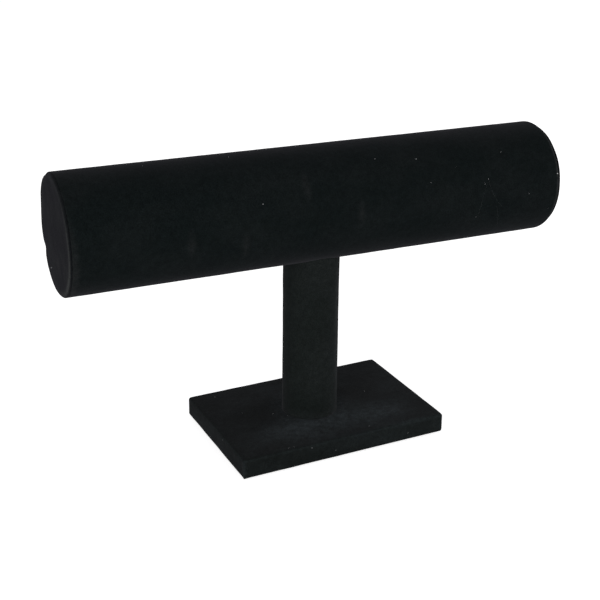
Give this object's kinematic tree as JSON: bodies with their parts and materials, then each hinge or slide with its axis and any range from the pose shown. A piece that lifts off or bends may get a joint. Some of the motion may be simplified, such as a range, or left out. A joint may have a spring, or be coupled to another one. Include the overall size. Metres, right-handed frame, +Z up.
{
  "type": "bracelet display stand",
  "caption": "Velvet-covered round bar on a short round post and a flat rectangular base, for showing bracelets and watches.",
  "frame": {"origin": "on the table under the middle of the bar, which is the bottom centre of the whole stand", "axes": "+X along the bar to the right, +Y to the back, +Z up"},
  "size_m": [0.225, 0.069, 0.1337],
  "materials": {
    "velvet": "black flocked velvet, short upright pile with a soft cool sheen",
    "underlay_felt": "thin black pressed felt",
    "tube_board": "grey-brown wound paper board",
    "wood": "plain turned softwood",
    "fibreboard": "raw medium-density fibreboard",
    "steel": "zinc-plated screw steel"
  },
  "bodies": {
    "root": {"bar_tube": "tube_board", "bar_cover": "velvet", "bar_plug_left": "wood", "bar_plug_right": "wood", "bar_end_cover_left": "velvet", "bar_end_cover_right": "velvet", "bar_screw": "steel", "post_core": "wood", "post_cover": "velvet", "base_board": "fibreboard", "base_cover": "velvet", "base_underlay": "underlay_felt", "base_screw": "steel"}
  },
  "joints": []
}
